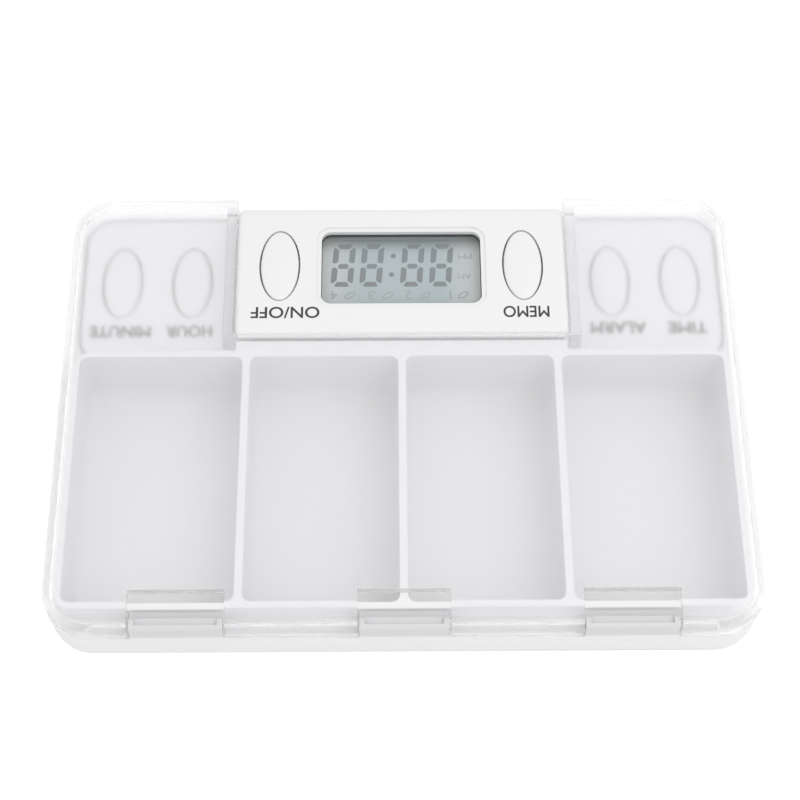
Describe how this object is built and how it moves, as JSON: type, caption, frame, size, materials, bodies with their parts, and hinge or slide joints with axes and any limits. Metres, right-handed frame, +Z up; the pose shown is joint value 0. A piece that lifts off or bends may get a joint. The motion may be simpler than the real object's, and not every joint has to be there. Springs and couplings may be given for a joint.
{
  "type": "electronic pill box",
  "caption": "Flat pill box with pockets under a hinged translucent lid and a timer module with display and oval keys along the front edge.",
  "frame": {"origin": "middle of the underside of the closed box, on the surface it stands on", "axes": "+X along the long side, +Y towards the hinge, +Z up; the user and the timer are at -Y"},
  "size_m": [0.11, 0.079, 0.0165],
  "materials": {
    "white_plastic": "moulded white plastic, satin",
    "frosted_plastic": "frosted translucent plastic",
    "clear_plastic": "clear moulded window",
    "display_glass": "grey display cell",
    "silver_film": "diffuse silver film",
    "pink_rubber": "layered elastomer",
    "grey_rubber": "silicone rubber",
    "board_green": "glass fibre board with solder mask",
    "black_resin": "cast black resin",
    "bright_metal": "nickel plated steel",
    "brass": "thin brass sheet",
    "red_wire": "insulated wire",
    "black_wire": "insulated wire"
  },
  "bodies": {
    "case": {"base_tray": "white_plastic", "timer_cover": "white_plastic", "window_lens": "clear_plastic", "lcd_glass": "display_glass", "lcd_reflector": "silver_film", "lcd_frame": "white_plastic", "zebra_connector": "pink_rubber", "circuit_board": "board_green", "controller_chip": "black_resin", "quartz_crystal": "bright_metal", "switch_mat_left": "grey_rubber", "switch_mat_right": "grey_rubber", "buzzer_disc": "brass", "buzzer_wire_red": "red_wire", "buzzer_wire_black": "black_wire", "coin_cell": "bright_metal", "contact_negative": "bright_metal", "contact_positive": "bright_metal", "cover_screw_1": "bright_metal", "cover_screw_2": "bright_metal", "cover_screw_3": "bright_metal", "cover_screw_4": "bright_metal"},
    "lid": {"lid": "frosted_plastic"},
    "key_onoff": {"key_onoff": "white_plastic"},
    "key_memo": {"key_memo": "white_plastic"},
    "key_hour": {"key_hour": "white_plastic"},
    "key_minute": {"key_minute": "white_plastic"},
    "key_alarm": {"key_alarm": "white_plastic"},
    "key_time": {"key_time": "white_plastic"},
    "battery_door": {"battery_door": "white_plastic"}
  },
  "joints": [
    {"name": "lid_hinge", "type": "hinge", "parent": "case", "child": "lid", "pos_m": [0, 0.0384, 0.0125], "axis": [-1, 0, 0], "range_deg": [0, 120]},
    {"name": "press_onoff", "type": "slide", "parent": "case", "child": "key_onoff", "axis": [0, 0, -1], "range_m": [0, 0.0005], "stiffness_N_per_m": 400},
    {"name": "press_memo", "type": "slide", "parent": "case", "child": "key_memo", "axis": [0, 0, -1], "range_m": [0, 0.0005], "stiffness_N_per_m": 400},
    {"name": "press_hour", "type": "slide", "parent": "case", "child": "key_hour", "axis": [0, 0, -1], "range_m": [0, 0.0005], "stiffness_N_per_m": 400},
    {"name": "press_minute", "type": "slide", "parent": "case", "child": "key_minute", "axis": [0, 0, -1], "range_m": [0, 0.0005], "stiffness_N_per_m": 400},
    {"name": "press_alarm", "type": "slide", "parent": "case", "child": "key_alarm", "axis": [0, 0, -1], "range_m": [0, 0.0005], "stiffness_N_per_m": 400},
    {"name": "press_time", "type": "slide", "parent": "case", "child": "key_time", "axis": [0, 0, -1], "range_m": [0, 0.0005], "stiffness_N_per_m": 400},
    {"name": "battery_door_turn", "type": "hinge", "parent": "case", "child": "battery_door", "pos_m": [0, -0.0218, 0.0008], "axis": [0, 0, 1], "range_deg": [0, 45]}
  ]
}
